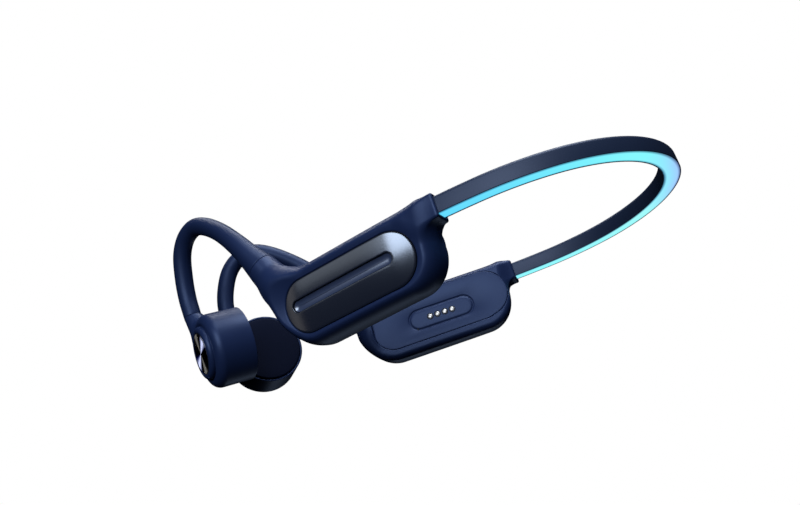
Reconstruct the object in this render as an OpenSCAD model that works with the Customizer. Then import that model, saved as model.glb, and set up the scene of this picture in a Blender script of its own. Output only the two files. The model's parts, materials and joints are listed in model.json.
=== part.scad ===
// Bone conduction headphones: a sprung neckband with a light strip, two side
// modules, two ear hooks and two round transducer pods.
// +Z is up as worn, the wearer faces -Y, and +X is the wearer's left.

/* [Neckband] */
// Radius of the bend behind the neck, to the band's centre line
band_radius = 40.6; // [38:0.2:44]
// Angle that this bend turns through on each side
bend_angle = 70.5; // [64:0.5:74]
// Radius of the easier curve that follows
flank_radius = 54; // [48:1:60]
// Angle that the easier curve turns through
flank_angle = 20; // [16:0.5:24]
// Radius of the nearly straight stretch into the side module
tail_radius = 146; // [130:2:180]
// Angle of that stretch, as far as the module's mouth
tail_angle = 4; // [3:0.5:6]
// Thickness of the band, across the head
band_thickness = 5.6; // [5.4:0.1:6]
// Height of the band
band_height = 4.8; // [4.4:0.1:5]
// Width of the light strip on the underside
strip_width = 4.2; // [3.6:0.1:4.4]
// Half angle of the rear stretch that the two arms spring from
rear_half_angle = 30; // [24:1:36]

/* [Side modules] */
// Position of a module's centre to each side
module_x = 32.6; // [31:0.2:36]
// Distance of a module's centre in front of the band's rearmost point
module_back = 86; // [85:0.2:87]
// Height of the band's centre line above a module's centre
band_above_module = 7; // [6.8:0.1:7.2]
// Thickness of a module
module_thickness = 10.6; // [10.4:0.1:11.5]
// Inward turn of the modules towards the face
module_yaw = 13; // [12:0.5:14]
// Outward lean of the modules' top edges
module_lean = 6.6; // [5:0.2:8]
// Length of the glossy panel
panel_length = 43.2; // [38:0.4:44]
// Height of the glossy panel
panel_height = 14.8; // [13:0.2:15]
// Length of the touch groove
groove_length = 33.8; // [26:0.2:35]
// Width of the touch groove
groove_width = 3.3; // [2.6:0.1:4]

/* [Charging dock] */
// Distance between neighbouring charging contacts
contact_pitch = 2.54; // [2.3:0.01:2.8]
// Radius of a charging contact
contact_radius = 0.75; // [0.5:0.05:0.9]
// Number of charging contacts
contact_count = 4; // [2:1:5]

/* [Transducer pods] */
// Radius of a pod
pod_radius = 11.5; // [11.2:0.1:11.6]
// Depth of a pod from its outer disc to its contact pad
pod_depth = 14.2; // [14:0.1:15]
// Radius of the metal button disc
disc_radius = 6.3; // [5:0.1:6.4]
// Travel of the button disc
disc_travel = 0.35; // [0.2:0.05:0.4]

/* [Hidden] */
$fn = 48;

navy = "#1e2a50";
band_navy = "#2d3755";
slate = "#2a2e3a";
light_blue = "#50d7ff";
steel = "#b8bcc4";
copper = "#b87333";
board_green = "#1f5d3a";

// Row placement: the origin is the bottom centre of the whole object
rear_y = 74.99;
module_y = rear_y - module_back;
slip = 0.05;

// The modules stand on their rounded lower edges
module_bottom = -11.2;
module_top = 11.5;
outer_x = module_thickness / 2;
shell_inset = 2.9;
shell_taper = 6.8;
shell_inset_in = 3;
shell_taper_in = 3.4;
shell_steps = 4;
module_z = -min([for (i = [0 : shell_steps]) let (a = 90 * i / shell_steps)
    (module_bottom + shell_inset * (1 - cos(a))) * cos(module_lean)
        - (outer_x - shell_taper * (1 - sin(a))) * sin(module_lean)]);
band_z = module_z + band_above_module;

// ---- Neckband path: three arcs on each side, measured from the rearmost point
split_gap = 0.15;
insert_angle = 2;
phi1 = bend_angle;
phi2 = phi1 + flank_angle;
phi3 = phi2 + tail_angle;
phi_end = phi3 + insert_angle;
function normal(phi) = [sin(phi), cos(phi)];
centre1 = [0, rear_y - band_radius];
centre2 = centre1 + (band_radius - flank_radius) * normal(phi1);
centre3 = centre2 + (flank_radius - tail_radius) * normal(phi2);

strip_depth = 1.0;
strip_corner = 0.25;
band_corner = 1.0;
lip_round = 0.5;
wire_radius = 0.6;
cable_radius = 0.6;
wire_offset = -0.65;
cable_offset = 0.65;
core_height = -band_height / 2 + strip_depth + 0.75;
slot_width = 2.6;
slot_top = core_height + 0.65;

// Points round a quarter or more of a circle
function round_points(x, y, radius, from, to, steps = 3) = [for (i = [0 : steps])
    let (a = from + (to - from) * i / steps) [x + radius * cos(a), y + radius * sin(a)]];

// Sections of the band's pieces, with x outwards and y upwards
half_t = band_thickness / 2;
half_h = band_height / 2;
channel = strip_width / 2 + slip;
channel_top = -half_h + strip_depth + slip;
sleeve_points = concat(
    round_points(half_t - band_corner, half_h - band_corner, band_corner, 0, 90),
    round_points(-half_t + band_corner, half_h - band_corner, band_corner, 90, 180),
    round_points(-half_t + lip_round, -half_h + lip_round, lip_round, 180, 270, 2),
    [[-channel, -half_h], [-channel, channel_top],
     [-slot_width / 2, channel_top], [-slot_width / 2, slot_top],
     [slot_width / 2, slot_top], [slot_width / 2, channel_top],
     [channel, channel_top], [channel, -half_h]],
    round_points(half_t - lip_round, -half_h + lip_round, lip_round, 270, 360, 2));
strip_points = concat(
    round_points(strip_width / 2 - strip_corner, -half_h + strip_depth - strip_corner,
        strip_corner, 0, 90, 2),
    round_points(-strip_width / 2 + strip_corner, -half_h + strip_depth - strip_corner,
        strip_corner, 90, 180, 2),
    round_points(-strip_width / 2 + strip_corner, -half_h + strip_corner,
        strip_corner, 180, 270, 2),
    round_points(strip_width / 2 - strip_corner, -half_h + strip_corner,
        strip_corner, 270, 360, 2));
core_sides = 10;
wire_points = [for (k = [0 : core_sides - 1]) let (a = 360 * k / core_sides)
    [wire_offset + wire_radius * cos(a), core_height + wire_radius * sin(a)]];
cable_points = [for (k = [0 : core_sides - 1]) let (a = 360 * k / core_sides)
    [cable_offset + cable_radius * cos(a), core_height + cable_radius * sin(a)]];

// One arc of the band, drawn from a section with x outwards and y upwards
module band_arc(centre, radius, from, to)
    translate([centre.x, centre.y, band_z])
        rotate([0, 0, 90 - to])
            rotate_extrude(angle = to - from, $fn = 96)
                translate([radius, 0])
                    children();

// Lists of points made into one closed solid, ring after ring
function flatten(lists) = [for (l = lists) for (item = l) item];
function wall(rings, sides, start, flip) = [for (i = [0 : rings - 2], k = [0 : sides - 1])
    let (n = (k + 1) % sides, a = start + i * sides, b = a + sides)
        flip ? [a + k, b + k, b + n, a + n] : [a + k, a + n, b + n, b + k]];
module skin(rings) {
    sides = len(rings[0]);
    last = (len(rings) - 1) * sides;
    polyhedron(flatten(rings),
        concat(wall(len(rings), sides, 0, false),
            [[for (k = [sides - 1 : -1 : 0]) k]], [[for (k = [0 : sides - 1]) last + k]]),
        convexity = 8);
}

// The left arm's run, from the rear stretch to the end inside the module
function arm_angles(end) = concat(
    [for (i = [0 : 11]) rear_half_angle + split_gap
        + (phi1 - rear_half_angle - split_gap) * i / 12],
    [for (i = [0 : 4]) phi1 + flank_angle * i / 5],
    [for (i = [0 : 4]) phi2 + (end - phi2) * i / 4]);
function arc_centre(phi) = phi < phi1 ? centre1 : phi < phi2 ? centre2 : centre3;
function arc_radius(phi) = phi < phi1 ? band_radius : phi < phi2 ? flank_radius : tail_radius;
function arm_ring(phi, section) = [for (p = section)
    let (q = arc_centre(phi) + (arc_radius(phi) + p.x) * normal(phi)) [q.x, q.y, band_z + p.y]];
module arm_run(section, end = phi_end)
    skin([for (phi = arm_angles(end)) arm_ring(phi, section)]);

module rear_run()
    band_arc(centre1, band_radius, -rear_half_angle, rear_half_angle) children();

module rounded_rectangle(size, radius) {
    square([size.x - 2 * radius, size.y], center = true);
    square([size.x, size.y - 2 * radius], center = true);
    for (x = [-1, 1], y = [-1, 1])
        translate([x * (size.x / 2 - radius), y * (size.y / 2 - radius)])
            circle(radius);
}

module on_right() mirror([1, 0, 0]) children();

module band_sleeve_rear() color(band_navy) rear_run() polygon(sleeve_points);
module band_sleeve_arm() color(band_navy) arm_run(sleeve_points);
module band_wire_rear() color(steel) rear_run() polygon(wire_points);
module band_wire_arm() color(steel) arm_run(wire_points, phi_end + ferrule_turn);
module light_strip_rear() color(light_blue) rear_run() polygon(strip_points);
module light_strip_arm() color(light_blue) arm_run(strip_points, phi3 + 0.4);
module signal_cable_rear() color("#303030") rear_run() polygon(cable_points);
module signal_cable_arm() color("#303030") arm_run(cable_points, phi_end + ferrule_turn);

// ---- Side module: x outwards, y rearwards, z up from the module's centre
panel_thickness = 1.1;
panel_y = 0.6;
panel_z = -0.25;
panel_floor = outer_x - panel_thickness;
cavity_top = panel_floor - 1.6;
cover_thickness = 1.3;
cover_x = -outer_x + cover_thickness;
cavity_length = 39;
cavity_height = 13.6;
gasket_width = 0.6;
gasket_depth = 0.6;
ferrule_radius = 1.9;
ferrule_turn = 1.4;
ferrule_pocket = 1.9;
lead_way = [2.0, 22, 6.3];
cover_inset = 3.3;

// Corner rounds of the module's side view: [y, z, radius]
front_low = [-13.7, module_bottom + 10, 10];
front_top = [-16.5, module_top - 7.3, 7.3];
rear_low = [16.9, module_bottom + 10, 10];
rear_top = [26.3, module_top - 3.2, 2.8];
cover_rear_top = [23.6, module_top - 5.6, 2.4];
front_mid = [-22.3, 4, 5.5];
neck_heel = [-17, 7, 3.9];
socket_root = [20, 5.2, 5.2];

module in_module()
    translate([module_x, module_y, module_z])
        rotate([0, module_lean, -module_yaw])
            children();

// A round pebble lying in the module, with rounded edges, sunk below the module's faces
module pebble(corner, sink = 0) {
    r = corner[2];
    top_x = outer_x - sink;
    inset = min(shell_inset, r - 0.2);
    inset_in = min(shell_inset_in, r - 0.2);
    outer_arc = [for (i = [0 : shell_steps]) let (a = 90 * i / shell_steps)
        [r - inset * (1 - cos(a)), top_x - shell_taper * (1 - sin(a))]];
    inner_arc = [for (i = [0 : 3]) let (a = 30 * i)
        [r - inset_in * (1 - sin(a)), sink - outer_x + shell_taper_in * (1 - cos(a))]];
    translate([0, corner[0], corner[1]])
        rotate([0, 90, 0])
            rotate_extrude($fn = 40)
                polygon(concat([[0, sink - outer_x]], inner_arc, outer_arc, [[0, top_x]]));
}

// An obround plate standing in the module, from x0 to x1
module obround_plate(length, height, x0, x1, centre_y = 0, centre_z = panel_z)
    translate([x0, centre_y, centre_z])
        rotate([90, 0, 90])
            linear_extrude(x1 - x0) {
                square([length - height, height], center = true);
                for (side = [-1, 1])
                    translate([side * (length - height) / 2, 0]) circle(height / 2);
            }

module cover_outline(inset)
    hull() {
        for (corner = [front_low, front_top, rear_low])
            translate([corner[0], corner[1]])
                circle(corner[2] - inset, $fn = 40);
        translate([cover_rear_top[0], cover_rear_top[1]])
            circle(cover_rear_top[2] + cover_inset - inset, $fn = 40);
    }

module cover_plate(inset)
    translate([-outer_x - 0.01, 0, 0])
        rotate([90, 0, 90])
            linear_extrude(cover_thickness + 0.01) cover_outline(inset);

// Hook route in the module's own directions: [x, y, z, radius]
hook_route = [
    [0.5, -27.1, 16.7, 4.5],
    [0.4, -30.2, 21.8, 3.6],
    [-0.6, -34, 27.3, 3.15],
    [-3, -40.4, 34.4, 2.9],
    [-6, -47.9, 40.2, 2.85],
    [-7.8, -54, 42.8, 2.8],
    [-8.6, -59.5, 41.6, 2.8],
    [-9.1, -63.6, 37.4, 2.85],
    [-9.5, -66.2, 30.5, 2.85],
    [-9.4, -67.2, 24, 2.8],
    [-8.7, -66.7, 17.6, 2.75]
];
route_steps = 3;
hook_sides = 20;
hook_bore = 1.2;
hook_core = 0.5;
core_spacing = 0.6;
hook_ferrule_radius = 2.0;
tenon = 3.5;

function route_point(i) =
    i < 0 ? 2 * hook_route[0] - hook_route[1] :
    i >= len(hook_route) ? 2 * hook_route[i - 1] - hook_route[i - 2] :
    hook_route[i];
function spline(a, b, c, d, t) =
    0.5 * (2 * b + (c - a) * t + (2 * a - 5 * b + 4 * c - d) * t * t
        + (3 * b - a - 3 * c + d) * t * t * t);
function route_at(s) = let (i = min(floor(s), len(hook_route) - 2))
    spline(route_point(i - 1), route_point(i), route_point(i + 1), route_point(i + 2), s - i);
function xyz(p) = [p[0], p[1], p[2]];
function unit(v) = v / norm(v);
route_last = len(hook_route) - 1;
function heading(s) = let (d = 0.02)
    unit(xyz(route_at(min(s + d, route_last))) - xyz(route_at(max(s - d, 0))));
function across(s) = unit(cross(heading(s), [1, 0, 0]));
function outwards(s) = cross(across(s), heading(s));
route_steps_list = [for (i = [0 : route_last * route_steps]) i / route_steps];

// A ring of points round the route: offset moves it sideways inside the hook
function ring(s, radius, sides, offset) = let (c = xyz(route_at(s)) + offset * across(s))
    [for (k = [0 : sides - 1]) let (a = 360 * k / sides)
        c + radius * (cos(a) * across(s) + sin(a) * outwards(s))];

// The silicone tube: an outer wall, a bore and two flat ring-shaped ends
module hollow_tube() {
    rings = len(route_steps_list);
    outer = flatten([for (s = route_steps_list) ring(s, route_at(s)[3], hook_sides, 0)]);
    inner = flatten([for (s = route_steps_list) ring(s, hook_bore, hook_sides, 0)]);
    first = rings * hook_sides;
    last = (rings - 1) * hook_sides;
    ends = [for (k = [0 : hook_sides - 1]) let (n = (k + 1) % hook_sides)
        each [[k, first + k, first + n, n],
              [last + k, last + n, first + last + n, first + last + k]]];
    polyhedron(concat(outer, inner),
        concat(wall(rings, hook_sides, 0, false), wall(rings, hook_sides, first, true), ends),
        convexity = 6);
}

// A thin core inside the hook that runs on past both ends into the tenons
module core(offset, radius) {
    sides = 8;
    first = [for (p = ring(0, radius, sides, offset)) p - tenon * heading(0)];
    last = [for (p = ring(route_last, radius, sides, offset)) p + tenon * heading(route_last)];
    skin(concat([first], [for (s = route_steps_list) ring(s, radius, sides, offset)], [last]));
}

// Turns +Z of its children to the direction v and moves them to p
module aim(p, v)
    translate(p)
        rotate([0, acos(v.z / norm(v)), atan2(v.y, v.x)])
            children();

module at_hook_start() aim(xyz(hook_route[0]), -heading(0)) children();

module shell_body() {
    hull()
        for (corner = [front_low, front_top, rear_low, rear_top]) pebble(corner);
    hull() {
        pebble(front_mid);
        pebble(neck_heel);
        at_hook_start() cylinder(r = hook_route[0][3], h = 0.6, $fn = 40);
    }
}

// The mouth that grips the band, drawn along the band's own curve
mouth_height = 7.2;
mouth_thickness = 7.6;
module mouth_collar()
    hull() {
        band_arc(centre3, tail_radius, phi3 - 0.2, phi3 + 0.1)
            rounded_rectangle([mouth_thickness, mouth_height], 1.6);
        in_module() pebble(socket_root, 0.15);
    }

module module_shell()
    color(navy)
        difference() {
            union() {
                in_module() shell_body();
                mouth_collar();
            }
            in_module() {
                obround_plate(panel_length + 2 * slip, panel_height + 2 * slip,
                    panel_floor, outer_x + 1, panel_y);
                obround_plate(cavity_length, cavity_height, -outer_x - 1, cavity_top);
                obround_plate(cavity_length + 2 * gasket_width, cavity_height + 2 * gasket_width,
                    -outer_x - 1, cover_x + gasket_depth);
                cover_plate(cover_inset - slip);
                aim(lead_way, [-1.2, -8, -2.6]) cylinder(r = 0.9, h = 9, $fn = 24);
                at_hook_start() {
                    cylinder(r = hook_bore, h = 14, center = true);
                    cylinder(r = hook_ferrule_radius + slip, h = tenon + 1.5);
                }
            }
            band_arc(centre3, tail_radius, phi3 - 2, phi_end + slip)
                rounded_rectangle([band_thickness + 2 * slip, band_height + 2 * slip], band_corner);
            band_arc(centre3, tail_radius, phi_end, phi_end + ferrule_pocket)
                translate([0, core_height]) circle(ferrule_radius + slip);
        }

module band_ferrule()
    color(steel)
        band_arc(centre3, tail_radius, phi_end + 0.1, phi_end + ferrule_turn)
            translate([0, core_height])
                difference() {
                    circle(ferrule_radius, $fn = 32);
                    for (x = [wire_offset, cable_offset])
                        translate([x, 0]) circle(wire_radius + slip / 2, $fn = 24);
                }

module glossy_panel()
    color(slate)
        in_module()
            difference() {
                obround_plate(panel_length, panel_height, panel_floor, outer_x, panel_y);
                obround_plate(groove_length, groove_width, panel_floor + 0.3, outer_x + 1,
                    groove_y, groove_z);
            }

groove_y = -1.1;
groove_z = 0.5;
trough_radius = 2.6;

module touch_strip()
    color("#4a5068")
        in_module()
            difference() {
                obround_plate(groove_length - 2 * slip, groove_width - 2 * slip,
                    panel_floor + 0.3, outer_x - 0.05, groove_y, groove_z);
                translate([outer_x + trough_radius - 0.55, groove_y, groove_z])
                    rotate([90, 0, 0])
                        cylinder(r = trough_radius, h = groove_length, center = true);
            }

module module_cover()
    color(navy)
        in_module()
            cover_plate(cover_inset);

dock_y = 2.9;
dock_z = -0.9;
dock_length = 22.4;
dock_height = 7.2;
dock_depth = 0.9;
contact_length = 2.6;

module dock_places()
    for (i = [0 : contact_count - 1])
        translate([-outer_x, dock_y + (i - (contact_count - 1) / 2) * contact_pitch, dock_z])
            rotate([0, 90, 0])
                children();

module right_module_cover()
    color(navy)
        on_right()
            in_module()
                difference() {
                    cover_plate(cover_inset);
                    obround_plate(dock_length, dock_height, -outer_x - 1, -outer_x + dock_depth,
                        dock_y, dock_z);
                    dock_places() cylinder(r = contact_radius + slip, h = 8, center = true);
                }

module dock_plate()
    color("#1a2444")
        on_right()
            in_module()
                difference() {
                    obround_plate(dock_length - 2 * slip, dock_height - 2 * slip,
                        -outer_x, -outer_x + dock_depth, dock_y, dock_z);
                    dock_places() cylinder(r = contact_radius + slip, h = 8, center = true);
                }

module charging_contacts()
    color("#d8d4c8")
        on_right()
            in_module()
                dock_places() {
                    cylinder(r = contact_radius, h = contact_length);
                    translate([0, 0, cover_thickness + slip])
                        cylinder(r = contact_radius + 0.3, h = 0.4);
                }

magnet_radius = 1.5;
module dock_magnets()
    color(steel)
        on_right()
            in_module()
                for (side = [-1, 1])
                    translate([cover_x + slip, dock_y + side * 8.2, dock_z])
                        rotate([0, 90, 0])
                            cylinder(r = magnet_radius, h = 1.2);

module cover_gasket()
    color("#101010")
        in_module()
            difference() {
                obround_plate(cavity_length + 2 * gasket_width - 2 * slip,
                    cavity_height + 2 * gasket_width - 2 * slip,
                    cover_x + slip, cover_x + gasket_depth - slip);
                obround_plate(cavity_length, cavity_height, -outer_x - 1, outer_x);
            }

module board(size, x, y)
    translate([x, y - size.y / 2, panel_z - size.z / 2]) cube(size);

module touch_board()
    color(board_green)
        in_module() {
            board([0.8, 32, 8], cavity_top - 0.8, 0);
            board([0.7, 5, 3], cavity_top - 1.5, -9);
        }

module battery()
    color("#8a8f98")
        in_module() {
            board([4, 27, 11], cover_x + 0.4, 1);
            board([2, 1.6, 9], cover_x + 1.2, -13.3);
        }

module main_board()
    color(board_green)
        on_right()
            in_module() {
                board([0.8, 31, 10], cover_x + 2.2, 0);
                board([0.9, 6, 6], cover_x + 3, -6);
                board([0.7, 4, 5], cover_x + 3, 3);
                board([1.2, 5, 3.2], cover_x + 3, 11);
            }

module hook_ferrule()
    color(steel)
        in_module()
            at_hook_start()
                difference() {
                    translate([0, 0, 0.4]) cylinder(r = hook_ferrule_radius, h = tenon + 0.6);
                    cylinder(r = hook_bore, h = tenon + slip);
                }

module ear_hook() color(navy) in_module() hollow_tube();
module hook_wire() color(steel) in_module() core(-core_spacing, hook_core);
module hook_cable() color("#303030") in_module() core(core_spacing, hook_core);

// ---- Pod: x outwards along the pod's axis from the disc's plane
pod_x = 17.3;
pod_y = rear_y - 145.7;
pod_z = band_z - 3.1;
pod_turn = 43.7;
pod_lean = 5.1;
seam_x = -pod_depth + 1.6;
cavity_radius = pod_radius - 1.4;
end_wall_x = -3.6;
recess_x = -1.5;
disc_thickness = 1.0;
rim_x = -1.1;
boss_radius = 8.7;
rim_groove = 0.7;
switch_size = 4.4;
switch_x = -3.4;

module in_pod()
    translate([pod_x, pod_y, pod_z])
        rotate([0, pod_lean, -pod_turn])
            children();

// A solid of revolution about the pod's axis, from points [radius, x]
module turned(points, fn = 96)
    rotate([0, 90, 0])
        rotate_extrude($fn = fn)
            polygon(points);

function fillet(r, x, round, from, to, steps = 6) = [for (i = [0 : steps])
    let (a = from + (to - from) * i / steps) [r + round * cos(a), x + round * sin(a)]];

module pod_body()
    turned(concat(
        [[0, seam_x], [pod_radius - 0.5, seam_x], [pod_radius, seam_x + 0.8]],
        fillet(pod_radius - 2.2, rim_x - 2.2, 2.2, 0, 80),
        [[boss_radius + 0.5, rim_x - 0.1], [boss_radius + 0.2, rim_x - rim_groove],
         [boss_radius - 0.1, rim_x - rim_groove]],
        fillet(boss_radius - 1.3, -1.2, 1.2, 0, 90),
        [[0, 0]]));

module pod_neck()
    hull() {
        in_module()
            aim(xyz(hook_route[route_last]), heading(route_last))
                cylinder(r = hook_route[route_last][3], h = 0.5, $fn = 32);
        in_pod() translate([-5, -4.6, 5]) sphere(r = 4.6, $fn = 32);
        in_pod() translate([-3.4, -5.8, 2]) sphere(r = 3.1, $fn = 32);
    }

mic_z = -7.4;
mic_radius = 1.3;

module pod_housing()
    color(navy)
        difference() {
            union() {
                in_pod() pod_body();
                pod_neck();
            }
            in_pod() {
                turned([[0, seam_x - 1], [cavity_radius, seam_x - 1], [cavity_radius, end_wall_x],
                    [0, end_wall_x]]);
                turned([[0, recess_x], [disc_radius + 0.12, recess_x], [disc_radius + 0.12, 1], [0, 1]]);
                translate([switch_x - 1, -switch_size / 2 - slip, -switch_size / 2 - slip])
                    cube([3, switch_size + 2 * slip, switch_size + 2 * slip]);
                translate([end_wall_x - 1, 0, mic_z])
                    rotate([0, 90, 0]) cylinder(r = mic_radius + slip, h = 2);
                translate([end_wall_x, 0, mic_z])
                    rotate([0, 90, 0]) cylinder(r = 0.35, h = 5, $fn = 24);
            }
            in_module()
                aim(xyz(hook_route[route_last]), heading(route_last))
                    cylinder(r = hook_bore, h = tenon * 2 + 1.5, center = true);
        }

// The switch's plunger stands clear of the stem by the disc's travel
module button_disc()
    color(steel)
        in_pod() {
            turned([[0, -disc_thickness], [disc_radius - 0.2, -disc_thickness],
                [disc_radius, -disc_thickness + 0.2], [disc_radius, -0.1],
                [disc_radius - 0.25, 0.05], [0, 0.05]]);
            translate([-disc_thickness - 0.3, 0, 0])
                rotate([0, 90, 0]) cylinder(r = 1.4, h = 0.5, $fn = 32);
        }

module button_switch()
    color("#2b2b2b")
        in_pod() {
            translate([switch_x, -switch_size / 2, -switch_size / 2])
                cube([1.2, switch_size, switch_size]);
            translate([switch_x + 1.2, 0, 0])
                rotate([0, 90, 0])
                    cylinder(r = 1, h = -disc_thickness - 0.3 - disc_travel - slip - switch_x - 1.2,
                        $fn = 32);
        }

yoke_radius = 8.4;
yoke_back = -4.4;
yoke_front = -9.4;
magnet_r = 5.0;
coil_inner = 5.5;
coil_outer = 6.8;
plate_x = -11.0;

module exciter_yoke()
    color("#707680")
        in_pod()
            turned([[0, yoke_back], [yoke_radius, yoke_back], [yoke_radius, yoke_front],
                [yoke_radius - 1, yoke_front], [yoke_radius - 1, yoke_back - 1], [0, yoke_back - 1]]);

module exciter_magnet()
    color("#9aa0a8")
        in_pod()
            translate([yoke_back - 4.4, 0, 0])
                rotate([0, 90, 0]) cylinder(r = magnet_r, h = 3.35);

module voice_coil()
    color(copper)
        in_pod()
            turned([[coil_inner, plate_x + 0.55], [coil_outer, plate_x + 0.55],
                [coil_outer, yoke_front + 2.4], [coil_inner, yoke_front + 2.4]]);

module vibration_plate()
    color("#c8ccd2")
        in_pod()
            difference() {
                turned([[0, plate_x], [cavity_radius - 0.3, plate_x],
                    [cavity_radius - 0.3, plate_x + 0.5], [0, plate_x + 0.5]]);
                for (i = [0 : 2])
                    rotate([120 * i, 0, 0])
                        translate([plate_x - 1, 0, 7.9])
                            rotate([0, 90, 0]) cylinder(r = 0.8, h = 3, $fn = 24);
            }

module contact_pad()
    color("#0c1024")
        in_pod()
            turned([[0, -pod_depth], [8.2, -pod_depth], [9.4, -pod_depth + 0.25],
                [pod_radius - 0.6, -pod_depth + 0.9], [pod_radius - 0.5, seam_x - slip],
                [cavity_radius - 0.1, seam_x - slip], [cavity_radius - 0.1, seam_x + 0.8],
                [cavity_radius - 0.7, seam_x + 0.8], [cavity_radius - 0.7, seam_x - slip],
                [4, seam_x - slip], [3.6, plate_x - slip], [0, plate_x - slip]]);

module microphone()
    color("#c9b46a")
        in_pod()
            translate([end_wall_x + 0.1, 0, mic_z])
                rotate([0, 90, 0]) cylinder(r = mic_radius, h = 0.85, $fn = 32);

band_sleeve_rear();
band_sleeve_arm();  // band_sleeve_left
on_right() band_sleeve_arm();  // band_sleeve_right
band_wire_rear();
band_wire_arm();  // band_wire_left
on_right() band_wire_arm();  // band_wire_right
light_strip_rear();
light_strip_arm();  // light_strip_left
on_right() light_strip_arm();  // light_strip_right
signal_cable_rear();
signal_cable_arm();  // signal_cable_left
on_right() signal_cable_arm();  // signal_cable_right
module_shell();  // left_module_shell
on_right() module_shell();  // right_module_shell
module_cover();  // left_module_cover
right_module_cover();
cover_gasket();  // left_cover_gasket
on_right() cover_gasket();  // right_cover_gasket
glossy_panel();  // left_glossy_panel
on_right() glossy_panel();  // right_glossy_panel
touch_strip();  // left_touch_strip
on_right() touch_strip();  // right_touch_strip
touch_board();  // left_touch_board
on_right() touch_board();  // right_touch_board
band_ferrule();  // left_band_ferrule
on_right() band_ferrule();  // right_band_ferrule
hook_ferrule();  // left_hook_ferrule
on_right() hook_ferrule();  // right_hook_ferrule
ear_hook();  // left_ear_hook
on_right() ear_hook();  // right_ear_hook
hook_wire();  // left_hook_wire
on_right() hook_wire();  // right_hook_wire
hook_cable();  // left_hook_cable
on_right() hook_cable();  // right_hook_cable
pod_housing();  // left_pod_housing
on_right() pod_housing();  // right_pod_housing
button_disc();  // left_button_disc
on_right() button_disc();  // right_button_disc
button_switch();  // left_button_switch
on_right() button_switch();  // right_button_switch
exciter_yoke();  // left_exciter_yoke
on_right() exciter_yoke();  // right_exciter_yoke
exciter_magnet();  // left_exciter_magnet
on_right() exciter_magnet();  // right_exciter_magnet
voice_coil();  // left_voice_coil
on_right() voice_coil();  // right_voice_coil
vibration_plate();  // left_vibration_plate
on_right() vibration_plate();  // right_vibration_plate
contact_pad();  // left_contact_pad
on_right() contact_pad();  // right_contact_pad
microphone();  // left_microphone
on_right() microphone();  // right_microphone
battery();  // left_battery
main_board();  // right_main_board
dock_plate();
charging_contacts();
dock_magnets();
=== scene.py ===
import json
import math

import bpy
import numpy as np
import openvdb
from mathutils import Matrix, Vector

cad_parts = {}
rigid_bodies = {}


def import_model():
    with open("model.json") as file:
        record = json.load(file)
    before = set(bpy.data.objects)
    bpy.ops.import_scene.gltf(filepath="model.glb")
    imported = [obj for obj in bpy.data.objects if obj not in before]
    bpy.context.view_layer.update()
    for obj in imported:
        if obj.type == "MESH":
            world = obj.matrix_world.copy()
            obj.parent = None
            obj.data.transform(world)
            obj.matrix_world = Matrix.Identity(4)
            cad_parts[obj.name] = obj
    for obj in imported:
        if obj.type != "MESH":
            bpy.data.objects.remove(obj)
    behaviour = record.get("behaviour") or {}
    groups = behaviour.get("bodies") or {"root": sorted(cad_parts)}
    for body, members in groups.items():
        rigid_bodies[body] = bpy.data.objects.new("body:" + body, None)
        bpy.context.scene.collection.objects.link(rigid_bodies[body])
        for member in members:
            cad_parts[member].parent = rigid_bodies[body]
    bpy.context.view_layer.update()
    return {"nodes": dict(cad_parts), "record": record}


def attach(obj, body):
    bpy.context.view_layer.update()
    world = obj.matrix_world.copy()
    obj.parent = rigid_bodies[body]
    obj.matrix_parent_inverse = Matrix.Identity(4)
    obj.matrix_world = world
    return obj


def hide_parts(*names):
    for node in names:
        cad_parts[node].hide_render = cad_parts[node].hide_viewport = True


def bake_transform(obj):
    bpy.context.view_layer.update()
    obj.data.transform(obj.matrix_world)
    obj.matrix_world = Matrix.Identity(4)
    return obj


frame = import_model()

# Bone conduction headphones. Shapes are worked out in millimetres, in the frame's own directions:
# +Z up as worn, -Y the way the wearer faces, +X the wearer's left. The left side is built, and the
# right side is its mirror image, but for the cover with the charging dock.
MM = 0.001
SIDES = {"left": 1, "right": -1}


# ---- Camera, and lights placed by what the camera sees of them
CAMERA_AT = Vector((218.22, 56.01, -53.01)) * MM
CAMERA_HEADING = math.radians(-164.11)
CAMERA_RISE = math.radians(19.17)
CAMERA_ROLL = math.radians(-17.99)
CAMERA_LENS = 35.3


def make_camera():
    """The camera looks up at the object from its left and below."""
    forward = Vector((
        math.cos(CAMERA_RISE) * math.cos(CAMERA_HEADING),
        math.cos(CAMERA_RISE) * math.sin(CAMERA_HEADING),
        math.sin(CAMERA_RISE),
    ))
    level = forward.cross(Vector((0, 0, 1))).normalized()
    upright = level.cross(forward)
    right = level * math.cos(CAMERA_ROLL) + upright * math.sin(CAMERA_ROLL)
    up = right.cross(forward)
    data = bpy.data.cameras.new("camera")
    data.lens = CAMERA_LENS
    data.clip_start = 0.005
    camera = bpy.data.objects.new("camera", data)
    camera.matrix_world = Matrix((
        (right.x, up.x, -forward.x, CAMERA_AT.x),
        (right.y, up.y, -forward.y, CAMERA_AT.y),
        (right.z, up.z, -forward.z, CAMERA_AT.z),
        (0, 0, 0, 1),
    ))
    bpy.context.scene.collection.objects.link(camera)
    bpy.context.scene.camera = camera
    return right, up, forward


view_right, view_up, view_forward = make_camera()


def make_world():
    """A plain white surround that reflections don't see, so that dark plastic keeps its depth."""
    world = bpy.data.worlds.new("surround")
    bpy.context.scene.world = world
    world.use_nodes = True
    world.node_tree.nodes["Background"].inputs["Color"].default_value = (1, 1, 1, 1)
    world.node_tree.nodes["Background"].inputs["Strength"].default_value = 1.0
    world.cycles_visibility.glossy = False
    world.cycles_visibility.diffuse = False


make_world()
bpy.context.scene.view_settings.view_transform = "Standard"


LIGHT_TARGET = Vector((0, 0, 28)) * MM


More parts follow.
